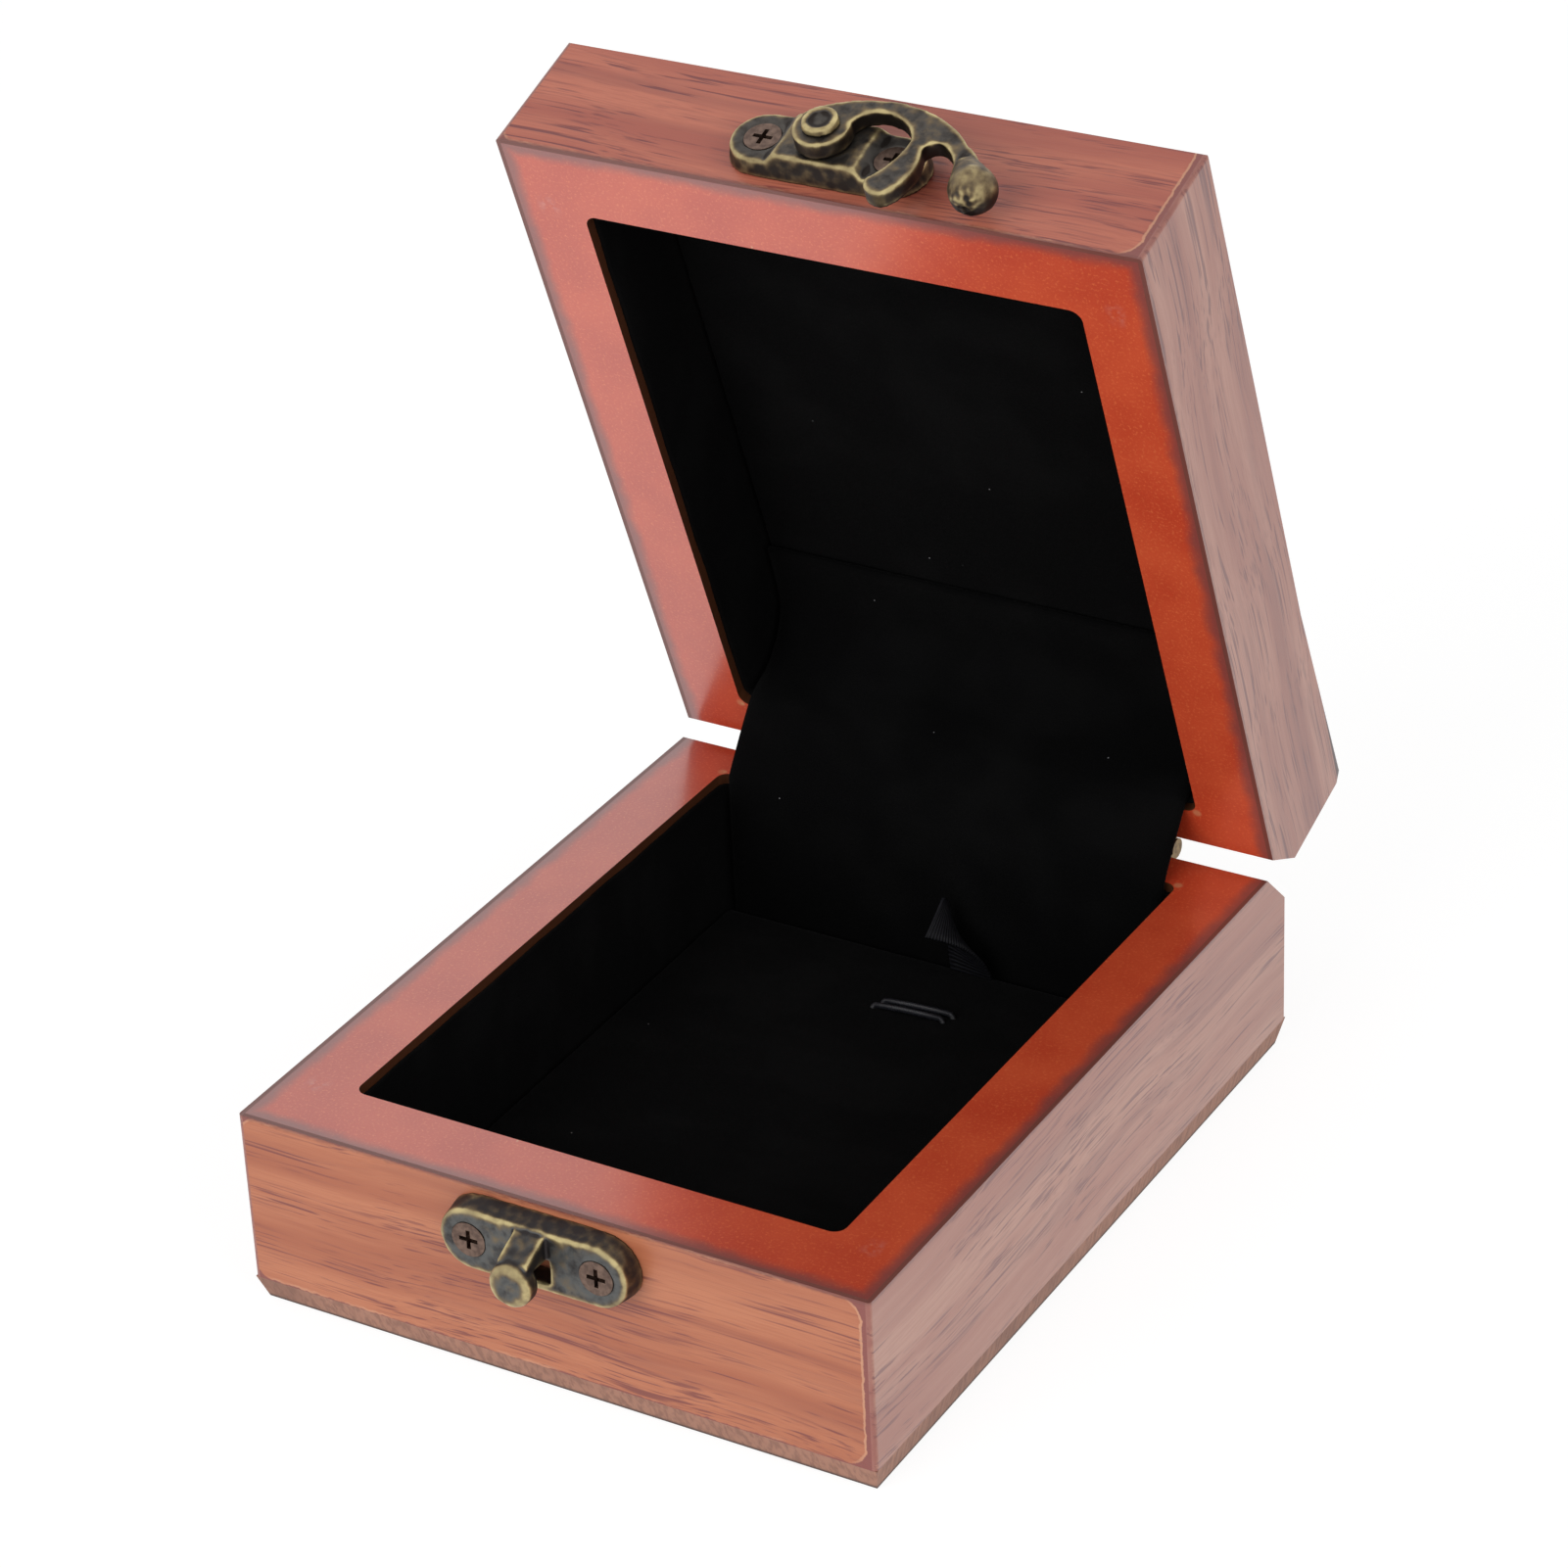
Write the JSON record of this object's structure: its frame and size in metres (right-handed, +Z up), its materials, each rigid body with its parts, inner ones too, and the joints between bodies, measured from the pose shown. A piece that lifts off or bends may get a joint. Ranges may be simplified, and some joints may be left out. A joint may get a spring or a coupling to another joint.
{
  "type": "hinged watch box",
  "caption": "Small hinged box for a watch or jewellery, with veneered outer faces, painted rims, a velvet-lined pocket in each half, a lift-out pad and a swing hook catch.",
  "frame": {"origin": "centre of the box's underside, where it rests on a table", "axes": "+X to the right as the box is seen from its front, +Y from the front to the hinge side, +Z up"},
  "size_m": [0.085, 0.1306, 0.133],
  "materials": {
    "painted_mdf": "semi-gloss orange-red paint over MDF",
    "veneer": "thin clear coat over reddish tan wood veneer",
    "veneer_front": "thin clear coat over orange tan wood veneer",
    "veneer_right": "thin clear coat over pinkish tan wood veneer",
    "foot_board": "bare greyish brown edge",
    "velvet": "short black velvet pile",
    "grey_board": "grey cardboard",
    "ribbon": "black satin ribbon",
    "elastic": "black elastic cord",
    "screw_bronze": "brownish bronze",
    "antique_brass": "antique brass with worn bright edges",
    "hinge_brass": "thin brass plate"
  },
  "bodies": {
    "base": {"base_frame": "painted_mdf", "base_board": "foot_board", "base_veneer_left": "veneer", "base_veneer_right": "veneer_right", "base_veneer_front": "veneer_front", "base_veneer_back": "veneer", "base_wall_lining": "velvet", "hinge_cover": "velvet", "hinge_left_base_leaf": "hinge_brass", "hinge_right_base_leaf": "hinge_brass", "hinge_left_pin": "hinge_brass", "hinge_right_pin": "hinge_brass", "hinge_base_screws": "screw_bronze", "catch_plate": "antique_brass", "catch_screws": "screw_bronze"},
    "pad": {"pad_board": "grey_board", "pad_cushion": "velvet", "pull_ribbon": "ribbon", "elastic_loops": "elastic"},
    "lid": {"lid_frame": "painted_mdf", "lid_board": "painted_mdf", "lid_veneer_left": "veneer", "lid_veneer_right": "veneer_right", "lid_veneer_front": "veneer_front", "lid_veneer_back": "veneer", "lid_veneer_top": "veneer", "lid_wall_lining": "velvet", "lid_pad_board": "grey_board", "lid_cushion": "velvet", "hinge_left_lid_leaf": "hinge_brass", "hinge_right_lid_leaf": "hinge_brass", "hinge_lid_screws": "screw_bronze", "hook_plate": "antique_brass", "hook_plate_screws": "screw_bronze", "hook_rivet": "antique_brass"},
    "hook": {"hook": "antique_brass"}
  },
  "joints": [
    {"name": "lid_hinge", "type": "hinge", "parent": "base", "child": "lid", "pos_m": [0, 0.04995, 0.02655], "axis": [-1, 0, 0], "range_deg": [-70, 10], "deforming": ["hinge_cover"]},
    {"name": "pad_lift", "type": "slide", "parent": "base", "child": "pad", "axis": [0, 0, 1], "range_m": [0, 0.012]},
    {"name": "hook_swing", "type": "hinge", "parent": "lid", "child": "hook", "pos_m": [0, 0.02043, 0.12563], "axis": [0, 0.342, -0.9397], "range_deg": [-25, 80]}
  ]
}
